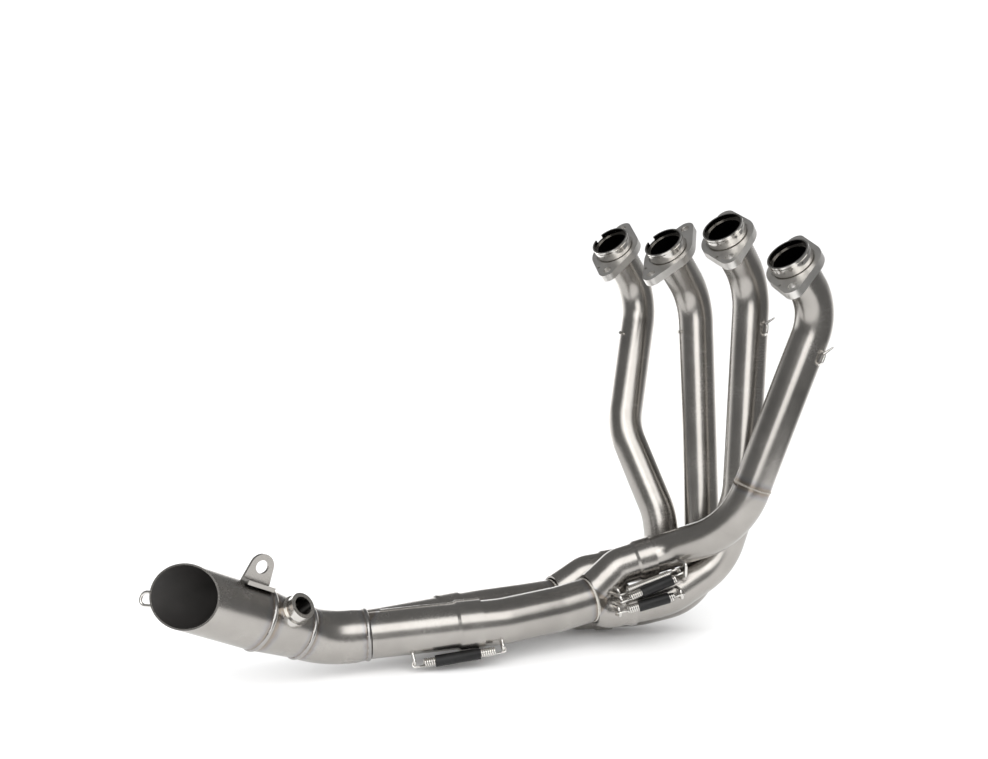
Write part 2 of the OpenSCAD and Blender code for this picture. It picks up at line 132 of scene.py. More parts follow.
# %% Polishing marks
grain, grain_in, grain_out = new_group(
    "polishing marks",
    [("Line Scale", "NodeSocketFloat", 2600.0), ("Cloud Scale", "NodeSocketFloat", 22.0)],
    [("Shade", "NodeSocketFloat"), ("Height", "NodeSocketFloat")])
place = add(grain, "ShaderNodeTexCoord").outputs["Object"]
along = add(grain, "ShaderNodeAttribute", {"attribute_name": "along"}).outputs["Fac"]
lines = add(grain, "ShaderNodeTexNoise", {"noise_dimensions": "1D"}, W=along,
            Scale=grain_in.outputs["Line Scale"], Detail=3.0, Roughness=0.7).outputs["Fac"]
clouds = add(grain, "ShaderNodeTexNoise", None, Vector=place,
             Scale=grain_in.outputs["Cloud Scale"], Detail=5.0, Roughness=0.6).outputs["Fac"]
speck = add(grain, "ShaderNodeTexNoise", None, Vector=place, Scale=1700.0, Detail=2.0).outputs["Fac"]
shade = maths(grain, "MULTIPLY_ADD", lines, 0.2,
              maths(grain, "MULTIPLY_ADD", clouds, 0.6, maths(grain, "MULTIPLY", speck, 0.2)))
grain.links.new(shade, grain_out.inputs["Shade"])
height = maths(grain, "MULTIPLY_ADD", speck, 0.5, maths(grain, "MULTIPLY", lines, 0.5))
grain.links.new(height, grain_out.inputs["Height"])

# %% [markdown]
# Welding heat leaves stainless straw yellow close to the bead, and blue-grey a
# little further away. Every weld is a circle, so the distance of a surface
# point from the circle's centre says how far along the pipe it is.

# %% Where the welds are
# name: (centre, direction, radius of the pipe, number of ripples in the bead)
NEAR_RING = Vector((111, 16, 48))
FAR_RING = Vector((114, 75, 31))
NEAR_TURN = Vector((79, 24.5, 43))
FAR_TURN = Vector((83, 81.3, 31))
MERGE = Vector((-92, 97, 35))
TAIL_KNEE = Vector((-128, 112, 34))
MERGE_WAY = (TAIL_KNEE - MERGE).normalized()
OUTLET_RISE = math.radians(26.5)
OUTLET_WAY = Vector((-math.cos(OUTLET_RISE), 0.02, math.sin(OUTLET_RISE))).normalized()
WELD_2_AT, WELD_1_AT = 32, 73
BEAD_HALF = 2.2


def tail_at(distance):
    return TAIL_KNEE + OUTLET_WAY * distance


# %% [markdown]
# The head pipes are defined as the construction model defines them: corner
# points of the centre line and one bend radius for each corner.

# %% Centre lines of the pipes
PORT_TILT = math.radians(41.5)
PORT_LEAN = [math.radians(a) for a in (-3, -1.5, -3, 3)]
PORT_LIFT = [0, 0, 16, -7]
PORT_DROP = [80, 78, 76, 70]
PORT_PITCH = 78.7
PIPE_INSET = 6
SLIP_DEPTH = 16
PIPE_R = 18.0
BRANCH_R = 21.5
MERGE_OFFSET = 3.5


def port_axis(i):
    return Vector((-math.sin(PORT_TILT), math.tan(PORT_LEAN[i]), math.cos(PORT_TILT))).normalized()


def port(i):
    return Vector((218 - 1.7 * i, 106 - PORT_PITCH * i, 394 + PORT_LIFT[i]))


def first_bend(i):
    return port(i) - port_axis(i) * PORT_DROP[i]


def pipe_top(i):
    return port(i) - port_axis(i) * PIPE_INSET


# knee, mouth of the socket, and how much shallower that socket is
NEAR_UPPER = (Vector((141, 7, 78)), Vector((172, -9, 87)), 0)
NEAR_LOWER = (Vector((127, 6, 37)), Vector((148, -6, 41)), 10)
FAR_UPPER = (Vector((147, 62, 57)), Vector((179, 46, 61)), 0)
FAR_LOWER = (Vector((134, 59, 19)), Vector((163, 40.5, 20.3)), 0)


def ahead(leg, distance):
    return leg[1] + (leg[1] - leg[0]).normalized() * distance


def pipe_stop(leg):
    return leg[1] + (leg[0] - leg[1]).normalized() * (SLIP_DEPTH - leg[2])


def bend_start(a, v, b, radius):
    return v - (v - a).normalized() * radius * math.tan((v - a).angle(b - v) / 2)


def bend_end(a, v, b, radius):
    return v + (b - v).normalized() * radius * math.tan((v - a).angle(b - v) / 2)


PATH_1 = [pipe_top(0), first_bend(0), Vector((218, 81, 198)), Vector((224, 33, 115)),
          ahead(FAR_UPPER, 51), pipe_stop(FAR_UPPER)]
PATH_2 = [pipe_top(1), first_bend(1), Vector((247, -11, 36)),
          ahead(FAR_LOWER, 30), pipe_stop(FAR_LOWER)]
PATH_3 = [pipe_top(2), first_bend(2), Vector((242.5, -60, 148.5)), Vector((227.5, -47, 79.5)),
          ahead(NEAR_LOWER, 38), pipe_stop(NEAR_LOWER)]
PATH_4 = [pipe_top(3), first_bend(3), Vector((204.4, -87.8, 127)),
          ahead(NEAR_UPPER, 16), pipe_stop(NEAR_UPPER)]
BENDS_4 = [50, 88, 45]
PATH_4_WELD = bend_start(PATH_4[1], PATH_4[2], PATH_4[3], BENDS_4[1])
PATH_4_WAY = (PATH_4[2] - PATH_4[1]).normalized()

NEAR_MOUTH = Vector((3, 49, 38))
FAR_MOUTH = Vector((11, 97, 31))
MERGE_SIDE = Vector((0, 0, 1)).cross(MERGE_WAY).normalized()
NEAR_WAY = (MERGE + MERGE_SIDE * MERGE_OFFSET - NEAR_MOUTH).normalized()
FAR_WAY = (MERGE - MERGE_SIDE * MERGE_OFFSET - FAR_MOUTH).normalized()
NEAR_SECOND = [NEAR_RING, NEAR_TURN, NEAR_MOUTH - NEAR_WAY * 20, NEAR_MOUTH + NEAR_WAY * 12]
FAR_SECOND = [FAR_RING, FAR_TURN, FAR_MOUTH - FAR_WAY * 20, FAR_MOUTH + FAR_WAY * 12]

WELDS = {
    "weld_near": (NEAR_RING, (NEAR_TURN - NEAR_RING).normalized(), BRANCH_R, 84),
    "weld_far": (FAR_RING, (FAR_TURN - FAR_RING).normalized(), BRANCH_R, 84),
    "weld_merge": (MERGE + MERGE_WAY * BEAD_HALF, MERGE_WAY, 23.4, 92),
    "weld_cone": (tail_at(WELD_2_AT - BEAD_HALF), OUTLET_WAY, 24.5, 96),
    "weld_outlet": (tail_at(WELD_1_AT + BEAD_HALF), OUTLET_WAY, 28.0, 108),
    "weld_pipe_4": (PATH_4_WELD - PATH_4_WAY * (BEAD_HALF + 0.3), PATH_4_WAY, PIPE_R, 72),
}

# %% [markdown]
# The tint is a group of its own, so that every metal can take as much of it as
# it needs. The nearest weld wins, and a little noise keeps the edge of the
# colours from being a perfect ring.

# %% Heat tint group
TINT_REACH = 9.0 * MM
tint, tint_in, tint_out = new_group(
    "weld heat tint",
    [("Steel", "NodeSocketColor", (0.5, 0.5, 0.5, 1)), ("Amount", "NodeSocketFloat", 0.6)],
    [("Color", "NodeSocketColor"), ("Near Weld", "NodeSocketFloat")])
place = add(tint, "ShaderNodeTexCoord").outputs["Object"]
closeness = None
for centre, _, radius, _ in WELDS.values():
    distance = add(tint, "ShaderNodeVectorMath", {"operation": "DISTANCE"},
                   i0=place, i1=centre * MM).outputs["Value"]
    squared = maths(tint, "SUBTRACT", maths(tint, "MULTIPLY", distance, distance), (radius * MM) ** 2)
    away = maths(tint, "SQRT", maths(tint, "MAXIMUM", squared, 0.0))
    near = maths(tint, "SUBTRACT", 1.0, maths(tint, "DIVIDE", away, TINT_REACH))
    closeness = near if closeness is None else maths(tint, "MAXIMUM", closeness, near)
uneven = add(tint, "ShaderNodeTexNoise", None, Vector=place, Scale=260.0, Detail=3.0).outputs["Fac"]
closeness = maths(tint, "MULTIPLY_ADD", maths(tint, "SUBTRACT", uneven, 0.5), 0.5, closeness)
band = add(tint, "ShaderNodeClamp", None, i0=closeness).outputs[0]
colours = ramp(tint, band, [(0.0, (1, 1, 1)), (0.25, (0.86, 0.9, 0.97)), (0.5, (0.62, 0.6, 0.66)),
                            (0.75, (0.62, 0.5, 0.38)), (1.0, (0.5, 0.42, 0.34))])
mixed = add(tint, "ShaderNodeMix", {"data_type": "RGBA", "blend_type": "MULTIPLY"},
            i0=tint_in.outputs["Amount"], i6=tint_in.outputs["Steel"], i7=colours)
tint.links.new(mixed.outputs[2], tint_out.inputs["Color"])
tint.links.new(band, tint_out.inputs["Near Weld"])

# %% [markdown]
# Each material is a metal with its own colour, gloss and polishing marks. The
# inside of the pipes is painted dark as painted shade, which is why a mouth looks black.

# %% Materials


def metal(name, dark, light, gloss, relief, line_scale=2600.0, cloud_scale=22.0, heat=0.6):
    """A metal whose colour runs from dark to light and whose roughness runs over the pair gloss."""
    material = bpy.data.materials.new(name)
    material.use_nodes = True
    tree = material.node_tree
    shader = tree.nodes["Principled BSDF"]
    marks = add(tree, "ShaderNodeGroup", {"node_tree": grain},
                Line_Scale=line_scale, Cloud_Scale=cloud_scale)
    colour = ramp(tree, marks.outputs["Shade"], [(0.3, dark), (0.7, light)])
    heated = add(tree, "ShaderNodeGroup", {"node_tree": tint}, Steel=colour, Amount=heat)
    tree.links.new(heated.outputs["Color"], shader.inputs["Base Color"])
    rough = add(tree, "ShaderNodeMapRange", None,
                i0=marks.outputs["Shade"], i1=0.3, i2=0.7, i3=gloss[0], i4=gloss[1])
    tree.links.new(rough.outputs[0], shader.inputs["Roughness"])
    bump = add(tree, "ShaderNodeBump", None,
               Strength=relief, Distance=0.00004, Height=marks.outputs["Height"])
    tree.links.new(bump.outputs[0], shader.inputs["Normal"])
    shader.inputs["Metallic"].default_value = 1.0
    return material


pipe_steel = metal("pipe_steel", (0.29, 0.276, 0.258), (0.44, 0.42, 0.395), (0.2, 0.3), 0.5)
collector_steel = metal("collector_steel", (0.3, 0.286, 0.268), (0.45, 0.43, 0.405), (0.21, 0.31), 0.5)
turned_steel = metal("turned_steel", (0.5, 0.485, 0.46), (0.72, 0.7, 0.67), (0.12, 0.22), 0.1, heat=0.0)
# The bore steel is darker than any polished steel: its darkness is painted shade for the inside of a pipe.
bore_painted_shade = metal("bore_painted_shade", (0.1, 0.095, 0.088), (0.3, 0.29, 0.27), (0.12, 0.24), 0.2, heat=0.0)
cast_steel = metal("cast_steel", (0.56, 0.545, 0.52), (0.74, 0.725, 0.7), (0.34, 0.48), 0.5,
                   cloud_scale=60.0, heat=0.0)
bead_steel = metal("bead_steel", (0.42, 0.395, 0.35), (0.66, 0.64, 0.6), (0.16, 0.3), 0.2, heat=0.15)
wire_steel = metal("wire_steel", (0.5, 0.485, 0.46), (0.8, 0.78, 0.75), (0.14, 0.24), 0.05, heat=0.0)
# painted shade: a near-black, non-metal lining that stands for the shade inside the cone and the outlet
inner_shade_black = metal("inner_shade_black", (0.012, 0.011, 0.01), (0.035, 0.032, 0.03), (0.5, 0.75), 0.3, heat=0.0)
inner_shade_black.node_tree.nodes["Principled BSDF"].inputs["Metallic"].default_value = 0.0

rubber = bpy.data.materials.new("rubber_sleeve")
rubber.use_nodes = True
rubber_tree = rubber.node_tree
rubber_shader = rubber_tree.nodes["Principled BSDF"]
rubber_marks = add(rubber_tree, "ShaderNodeGroup", {"node_tree": grain}, Line_Scale=500.0, Cloud_Scale=90.0)
rubber_black = ramp(rubber_tree, rubber_marks.outputs["Shade"],
                    [(0.3, (0.003, 0.003, 0.003)), (0.7, (0.01, 0.01, 0.01))])
rubber_tree.links.new(rubber_black, rubber_shader.inputs["Base Color"])
rubber_bump = add(rubber_tree, "ShaderNodeBump", None,
                  Strength=0.4, Distance=0.0003, Height=rubber_marks.outputs["Height"])
rubber_tree.links.new(rubber_bump.outputs[0], rubber_shader.inputs["Normal"])
rubber_shader.inputs["Roughness"].default_value = 0.42
rubber_shader.inputs["Specular IOR Level"].default_value = 0.3

# %% [markdown]
# A bent pipe is a centre line with rounded corners that a circle is swept
# along. Geometry Nodes do it from a plain chain of edges: each corner carries
# its own bend radius, Fillet Curve rounds it, and Curve to Mesh sweeps the
# circle. The same tree makes pipes, hooks and springs.

# %% The sweep tree
sweep, sweep_in, sweep_out = new_group(
    "pipe along path",
    [("Path", "NodeSocketGeometry", None), ("Radius", "NodeSocketFloat", 0.018),
     ("Sides", "NodeSocketInt", 64), ("Bend Steps", "NodeSocketInt", 18),
     ("Caps", "NodeSocketBool", False), ("Material", "NodeSocketMaterial", None)],
    [("Mesh", "NodeSocketGeometry")], "GeometryNodeTree")
to_curve = add(sweep, "GeometryNodeMeshToCurve", None, i0=sweep_in.outputs["Path"])
corner = add(sweep, "GeometryNodeInputNamedAttribute", {"data_type": "FLOAT"}, Name="bend_radius")
fillet = add(sweep, "GeometryNodeFilletCurve", {"mode": "POLY"}, Curve=to_curve.outputs[0],
             Radius=corner.outputs["Attribute"], Count=sweep_in.outputs["Bend Steps"])
length = add(sweep, "GeometryNodeSplineParameter").outputs["Length"]
marked = add(sweep, "GeometryNodeStoreNamedAttribute", {"data_type": "FLOAT", "domain": "POINT"},
             Geometry=fillet.outputs[0], Name="along", Value=length)
profile = add(sweep, "GeometryNodeCurvePrimitiveCircle", None, Resolution=sweep_in.outputs["Sides"],
              Radius=sweep_in.outputs["Radius"])
swept = add(sweep, "GeometryNodeCurveToMesh", None, Curve=marked.outputs[0],
            Profile_Curve=profile.outputs[0], Fill_Caps=sweep_in.outputs["Caps"])
smooth = add(sweep, "GeometryNodeSetShadeSmooth", None, i0=swept.outputs[0])
real = add(sweep, "GeometryNodeRealizeInstances", None, i0=smooth.outputs[0])
painted = add(sweep, "GeometryNodeSetMaterial", None, Geometry=real.outputs[0],
              Material=sweep_in.outputs["Material"])
sweep.links.new(painted.outputs[0], sweep_out.inputs["Mesh"])

# %% [markdown]
# A tree runs on a carrier object that holds the path or an empty mesh. What
# comes out is copied to a plain object, because a plain mesh can be bevelled,
# shaded and handed over like any other.

# %% Running a tree on an object


def run_tree(name, mesh, tree, values):
    """Puts the tree on a fresh object and returns a plain object with the result."""
    carrier = bpy.data.objects.new(name + "_carrier", mesh)
    bpy.context.scene.collection.objects.link(carrier)
    modifier = carrier.modifiers.new("nodes", "NODES")
    modifier.node_group = tree
    sockets = {item.name: item.identifier for item in tree.interface.items_tree if item.in_out == "INPUT"}
    for title, value in values.items():
        modifier[sockets[title]] = value
    bpy.context.view_layer.update()
    evaluated = carrier.evaluated_get(bpy.context.evaluated_depsgraph_get())
    result = bpy.data.meshes.new_from_object(evaluated)
    bpy.data.objects.remove(carrier)
    piece = bpy.data.objects.new(name, result)
    bpy.context.scene.collection.objects.link(piece)
    return piece


def settle(piece):
    """Applies the piece's modifiers, so that it is a plain mesh."""
    evaluated = piece.evaluated_get(bpy.context.evaluated_depsgraph_get())
    result = bpy.data.meshes.new_from_object(evaluated)
    piece.modifiers.clear()
    piece.data = result


def chain(points, bends):
    """A chain of edges in metres with the bend radius of each corner."""
    mesh = bpy.data.meshes.new("chain")
    mesh.from_pydata([p * MM for p in points], [(k, k + 1) for k in range(len(points) - 1)], [])
    radius = mesh.attributes.new("bend_radius", "FLOAT", "POINT")
    for k, bend in enumerate(bends):
        radius.data[k + 1].value = bend * MM
    return mesh


def hand_over(piece, slot, *nodes):
    """Puts the piece on the body it rides on and hides the construction nodes it stands for; slot is not used.
    """
    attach(piece, BODY)
    if nodes:
        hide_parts(*nodes)


# %% [markdown]
# The pipes are open tubes of 1.5 mm sheet. The sweep gives the outer skin, and
# Solidify gives it its thickness inwards. The inner skin takes the material
# after the outer one in the list: the steel of a bore, painted dark as painted
# shade for the inside of the pipe.

# %% Pipes
WALL = 1.5
RIM_SHARP_FROM = 40


def open_pipe(node, points, bends, radius):
    piece = run_tree(node + "_tube", chain(points, bends), sweep,
                     {"Radius": radius * MM, "Sides": 96, "Bend Steps": 24, "Caps": False,
                      "Material": pipe_steel})
    # The inner skin takes the bore steel, whose darkness is painted shade.
    piece.data.materials.append(bore_painted_shade)
    thick = piece.modifiers.new("wall", "SOLIDIFY")
    thick.thickness = WALL * MM
    thick.offset = -1
    thick.material_offset = 1
    thick.material_offset_rim = 0
    settle(piece)
    piece.data.set_sharp_from_angle(angle=math.radians(RIM_SHARP_FROM))
    hand_over(piece, "brushed_steel", node)
    return piece


PIPES = {
    "head_pipe_1": (PATH_1, [55, 70, 60, 30], PIPE_R),
    "head_pipe_2": (PATH_2, [60, 50, 100], PIPE_R),
    "head_pipe_3": (PATH_3, [60, 80, 60, 80], PIPE_R),
    "head_pipe_4_upper": ([PATH_4[0], PATH_4[1], PATH_4_WELD], BENDS_4[:1], PIPE_R),
    "near_secondary": (NEAR_SECOND, [80, 80], BRANCH_R),
    "far_secondary": (FAR_SECOND, [80, 80], BRANCH_R),
}
for node, (points, bends, radius) in PIPES.items():
    piece = open_pipe(node, points, bends, radius)
    print(node, len(piece.data.polygons), "faces")

# %% [markdown]
# The lower half of the fourth pipe starts on the weld, which is the point where
# its first bend begins. That bend's radius is a thousandth smaller than it
# would be in one pipe, so that the fillet still fits before the path's end.

# %% Lower part of pipe 4
NEARLY_ALL = 0.999
piece = open_pipe("head_pipe_4_lower", [PATH_4_WELD, PATH_4[2], PATH_4[3], PATH_4[4]],
                  [BENDS_4[1] * NEARLY_ALL, BENDS_4[2]], PIPE_R)
print("head_pipe_4_lower", len(piece.data.polygons), "faces")

# %% [markdown]
# The collectors, the tail, the flanges and the small parts keep the shape of
# the construction model. A copy of each is merged into one skin, the hard
# edges of the flanges, the boss and the bracket are broken by a small bevel,
# and each is shaded smooth between its hard edges.

# %% Finished copies
SHARP_FROM = 28
BEVEL_FROM = 40
MERGE_WITHIN = 0.00001
FLAT_WITHIN = 0.5
CONE_BORE_R = 23.2
OUTLET_BORE_R = 26.8
SLEEVE_BORE_R = 19.2


# Unless another lining is given, the lining is the near-black painted shade.
def finished_copy(node, material, slot, edge=0.0, inside=None, lining=inner_shade_black):
    """A copy of a node, shaded smooth, with a bevel of edge millimetres and its lining where inside(centre)."""
    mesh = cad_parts[node].data.copy()
    if "custom_normal" in mesh.attributes:
        mesh.attributes.remove(mesh.attributes["custom_normal"])
    mesh.materials.clear()
    mesh.materials.append(material)
    mesh.materials.append(lining)
    piece = bpy.data.objects.new(node + "_finish", mesh)
    bpy.context.scene.collection.objects.link(piece)
    joined = piece.modifiers.new("merge", "WELD")
    joined.merge_threshold = MERGE_WITHIN
    if edge:
        flats = piece.modifiers.new("flats", "DECIMATE")
        flats.decimate_type = "DISSOLVE"
        flats.angle_limit = math.radians(FLAT_WITHIN)
        broken = piece.modifiers.new("edges", "BEVEL")
        broken.width = edge * MM
        broken.segments = 2
        broken.limit_method = "ANGLE"
        broken.angle_limit = math.radians(BEVEL_FROM)
        broken.use_clamp_overlap = True
    settle(piece)
    for polygon in piece.data.polygons:
        polygon.use_smooth = True
        polygon.material_index = 1 if inside and inside(polygon.center / MM) else 0
    piece.data.set_sharp_from_angle(angle=math.radians(SHARP_FROM))
    weighted = piece.modifiers.new("weighted", "WEIGHTED_NORMAL")
    weighted.keep_sharp = True
    settle(piece)
    hand_over(piece, slot, node)
    return piece


def off_axis(point, start, way):
    """Distance of a point from an axis."""
    offset = point - start
    return (offset - way * offset.dot(way)).length


for node in ("near_leg_upper", "near_leg_lower", "far_leg_upper", "far_leg_lower",
             "near_branch", "far_branch", "tail_bend"):
    finished_copy(node, collector_steel, "brushed_steel")
# The bores of the cone and the outlet take the near-black painted shade.
finished_copy("tail_cone", collector_steel, "brushed_steel",
              inside=lambda p: off_axis(p, TAIL_KNEE, OUTLET_WAY) < CONE_BORE_R)
finished_copy("outlet_tube", collector_steel, "brushed_steel",
              inside=lambda p: off_axis(p, TAIL_KNEE, OUTLET_WAY) < OUTLET_BORE_R)
for k in range(4):
    # The sleeve bores take the bore steel, whose darkness is painted shade.
    finished_copy(f"port_sleeve_{k + 1}", turned_steel, "turned_steel", lining=bore_painted_shade,
                  inside=lambda p, k=k: off_axis(p, port(k), port_axis(k)) < SLEEVE_BORE_R)
    finished_copy(f"port_flange_{k + 1}", cast_steel, "cast_satin", edge=0.6)
finished_copy("sensor_boss", turned_steel, "turned_steel", edge=0.3)
finished_copy("hanger_bracket", collector_steel, "brushed_steel", edge=0.3)
for node in ("outlet_loop", "side_hook_3", "side_hook_4", "pipe_stubs", "pipe_loop_3", "pipe_loop_4",
             "ring_loop_upper", "ring_loop_lower", "branch_loop", "secondary_loop"):
    finished_copy(node, wire_steel, "wire_steel")

# %% [markdown]
# Where two tubes merge, the construction model cuts both by one plane. For
# three of the tubes that plane leaves out a strip of the wall well before the
# merge, where the real wall is whole. Each strip is put back here: the tube is
# turned about its own spine, and the faces between the plane and the other
# tube are kept, just under the skin of the construction model.

# %% Walls between merging tubes
SOCKET_PLAY = 0.15
SOCKET_STEP = 3
BRANCH_SOCKET = 22
LEG_ROOT_R = 19.5
LEG_ROOT_DROP = 3
LEG_BEND = 21
BRANCH_REACH = 70
UNDER = 0.04
OVERLAP = 0.8
INTO_OTHER = 0.9


def evenly(start, end, from_radius, to_radius, step=0.75):
    """(point, radius) pairs on a straight, without its end."""
    count = max(1, round((end - start).length / step))
    return [(start.lerp(end, k / count), from_radius + (to_radius - from_radius) * k / count)
            for k in range(count)]


def rounded(start, corner, end, radius, tube_radius, steps=24):
    """(point, radius) pairs on the bend at a corner."""
    first, last = (corner - start).normalized(), (end - corner).normalized()
    hinge = first.cross(last).normalized()
    begin = bend_start(start, corner, end, radius)
    middle = begin + hinge.cross(first) * radius
    turns = [Matrix.Rotation(first.angle(last) * k / steps, 3, hinge) for k in range(steps + 1)]
    return [(middle + turn @ (begin - middle), tube_radius) for turn in turns]


def wall_strip(name, spine, keep, sides=240):
    """The faces that keep(centre) picks of a tube about (point, radius) pairs, with a wall inwards."""
    last = len(spine) - 1
    ways = [(spine[min(k + 1, last)][0] - spine[max(k - 1, 0)][0]).normalized() for k in range(last + 1)]
    beside = ways[0].cross(ways[-1])
    beside = (beside if beside.length > 0.01 else ways[0].orthogonal()).normalized()
    corners = []
    for (point, radius), way in zip(spine, ways):
        across = beside.cross(way)
        for k in range(sides):
            angle = math.tau * k / sides
            corners.append(point + (across * math.cos(angle) + beside * math.sin(angle)) * (radius - UNDER))
    kept = []
    for ring_number in range(last):
        for k in range(sides):
            a, b = ring_number * sides + k, ring_number * sides + (k + 1) % sides
            quad = (b, a, a + sides, b + sides)
            if keep(sum((corners[i] for i in quad), Vector()) / 4):
                kept.append(quad)
    used = sorted({i for quad in kept for i in quad})
    new_number = {old: new for new, old in enumerate(used)}
    mesh = bpy.data.meshes.new(name)
    faces = [tuple(new_number[i] for i in quad) for quad in kept]
    mesh.from_pydata([corners[i] * MM for i in used], [], faces)
    mesh.materials.append(collector_steel)
    mesh.shade_smooth()
    piece = bpy.data.objects.new(name, mesh)
    bpy.context.scene.collection.objects.link(piece)
    thick = piece.modifiers.new("wall", "SOLIDIFY")
    thick.thickness = (WALL - 2 * UNDER) * MM
    thick.offset = -1
    settle(piece)
    piece.data.set_sharp_from_angle(angle=math.radians(SHARP_FROM))
    hand_over(piece, "brushed_steel")
    print(name, len(piece.data.polygons), "faces")
    return piece


def off_line(point, start, end):
    """Distance of a point from a stretch of straight line."""
    way = end - start
    share = min(1, max(0, (point - start).dot(way) / way.length_squared))
    return (point - start - way * share).length


def branch_gap(point):
    past_plane = (point - MERGE).dot(MERGE_SIDE) < OVERLAP
    return past_plane and off_axis(point, FAR_MOUTH, FAR_WAY) > BRANCH_R - INTO_OTHER


socket_end = NEAR_MOUTH + NEAR_WAY * BRANCH_SOCKET
tube_start = socket_end + NEAR_WAY * SOCKET_STEP
branch_socket_r = BRANCH_R + SOCKET_PLAY + WALL
wall_strip("near_branch_wall",
           evenly(NEAR_MOUTH, socket_end, branch_socket_r, branch_socket_r)
           + evenly(socket_end, tube_start, branch_socket_r, BRANCH_R)
           + evenly(tube_start, tube_start + NEAR_WAY * BRANCH_REACH, BRANCH_R, BRANCH_R), branch_gap)

for name, ring, turn, lower, upper in (("near_leg_wall", NEAR_RING, NEAR_TURN, NEAR_LOWER, NEAR_UPPER),
                                       ("far_leg_wall", FAR_RING, FAR_TURN, FAR_LOWER, FAR_UPPER)):
    split = ((lower[0] - ring).normalized() - (upper[0] - ring).normalized()).normalized()
    ring_way = (turn - ring).normalized()
    root, knee, mouth = ring + split * LEG_ROOT_DROP, lower[0], lower[1]
    out_way = (mouth - knee).normalized()
    step_start = mouth - out_way * (SLIP_DEPTH - lower[2] + SOCKET_STEP)
    step_end = step_start + out_way * SOCKET_STEP
    socket_r = PIPE_R + SOCKET_PLAY + WALL
    spine = evenly(root, bend_start(root, knee, mouth, LEG_BEND), LEG_ROOT_R, PIPE_R)
    spine += rounded(root, knee, mouth, LEG_BEND, PIPE_R)
    spine += evenly(bend_end(root, knee, mouth, LEG_BEND) + out_way * 0.5, step_start, PIPE_R, PIPE_R)
    spine += evenly(step_start, step_end, PIPE_R, socket_r)
    spine += evenly(step_end, mouth, socket_r, socket_r) + [(mouth, socket_r)]

    def leg_gap(point):
        past_plane = (point - ring).dot(split) < OVERLAP and (point - ring).dot(ring_way) < 0.2
        other = min(off_line(point, ring - split * LEG_ROOT_DROP, upper[0]),
                    off_line(point, upper[0], upper[1]))
        return past_plane and other > PIPE_R - INTO_OTHER

    wall_strip(name, spine, leg_gap)

# %% [markdown]
# A weld by hand looks like a row of overlapping coins, because the puddle
# freezes in steps. Geometry Nodes set a flat drop on every point of a circle
# and turn it along the circle.

# %% The weld tree
weld, weld_in, weld_out = new_group(
    "weld bead",
    [("Geometry", "NodeSocketGeometry", None), ("Radius", "NodeSocketFloat", 0.02),
     ("Ripples", "NodeSocketInt", 80), ("Drop Size", "NodeSocketFloat", 0.0016),
     ("Material", "NodeSocketMaterial", None)],
    [("Mesh", "NodeSocketGeometry")], "GeometryNodeTree")
ring = add(weld, "GeometryNodeCurvePrimitiveCircle", None, Resolution=weld_in.outputs["Ripples"],
           Radius=weld_in.outputs["Radius"])
drop = add(weld, "GeometryNodeMeshUVSphere", None, Segments=12, Rings=8,
           Radius=weld_in.outputs["Drop Size"])
tangent = add(weld, "GeometryNodeInputTangent").outputs[0]
aimed = add(weld, "FunctionNodeAlignRotationToVector", {"axis": "X"}, Vector=tangent)
uneven = add(weld, "FunctionNodeRandomValue", {"data_type": "FLOAT"}, i2=0.88, i3=1.12, Seed=7)
scaled = add(weld, "ShaderNodeCombineXYZ", None, X=0.8, Y=0.5, Z=1.3)
sized = add(weld, "ShaderNodeVectorMath", {"operation": "SCALE"}, i0=scaled.outputs[0],
            Scale=uneven.outputs[1])
placed = add(weld, "GeometryNodeInstanceOnPoints", None, Points=ring.outputs[0], Instance=drop.outputs[0],
             Rotation=aimed.outputs[0], Scale=sized.outputs[0])
real = add(weld, "GeometryNodeRealizeInstances", None, i0=placed.outputs[0])
smooth = add(weld, "GeometryNodeSetShadeSmooth", None, i0=real.outputs[0])
painted = add(weld, "GeometryNodeSetMaterial", None, Geometry=smooth.outputs[0],
              Material=weld_in.outputs["Material"])
weld.links.new(painted.outputs[0], weld_out.inputs["Mesh"])


def frame_at(centre, way):
    """The matrix that takes the local Z axis to way and the origin to centre, in metres."""
    turn = way.to_track_quat("Z", "Y").to_matrix().to_4x4()
    return Matrix.Translation(centre * MM) @ turn


SMALL_DROP, DROP = 0.8, 1.6
for name, (centre, way, radius, ripples) in WELDS.items():
    drop_size = SMALL_DROP if name == "weld_pipe_4" else DROP
    piece = run_tree(name, bpy.data.meshes.new(name), weld,
                     {"Radius": radius * MM, "Ripples": ripples, "Drop Size": drop_size * MM,
                      "Material": bead_steel})
    piece.data.transform(frame_at(centre, way))
    hand_over(piece, "brushed_steel")
    print(name, len(piece.data.polygons), "faces")

# %% [markdown]
# Springs pull the slip joints together. Each is one wire: a hook, a close coil
# that narrows at both ends, and a hook. The coil's points follow a plain rule,
# and the sweep tree turns the wire round. Each entry of the table holds the
# centres of the two bars that the hooks go round, and the points that those
# bars stand out from. Without the second of these the bar stands straight up.

# %% Springs
LOOP_R = 1.5
WIRE_R = 1.0
COIL_R = 4.3
COIL_MARGIN = 8
COIL_GAP = 1.03
NARROW, NARROW_STEPS = 0.76, 8
STEPS_PER_TURN = 14
HOOK_FROM, HOOK_SWEEP, HOOK_STEPS = -75, 165, 10
EYES = {
    "spring_upper": (Vector((122, -19.5, 54)), Vector((175.5, -48.5, 76.5)),
                     Vector((123, 9, 55)), None),
    "spring_lower": (Vector((119, -19.5, 43.5)), Vector((171.5, -50, 58.5)),
                     Vector((126, 7, 41)), Vector((183, -27, 56))),
    "spring_inner": (Vector((125.5, -11.8, 58.4)), Vector((179, -37, 76.5)),
                     Vector((125, 11, 62)), None),
    "spring_under": (Vector((-62, 64, 8.5)), Vector((10.5, 24, 18)),
                     Vector((-61, 79, 36)), Vector((18, 42, 38.5))),
}


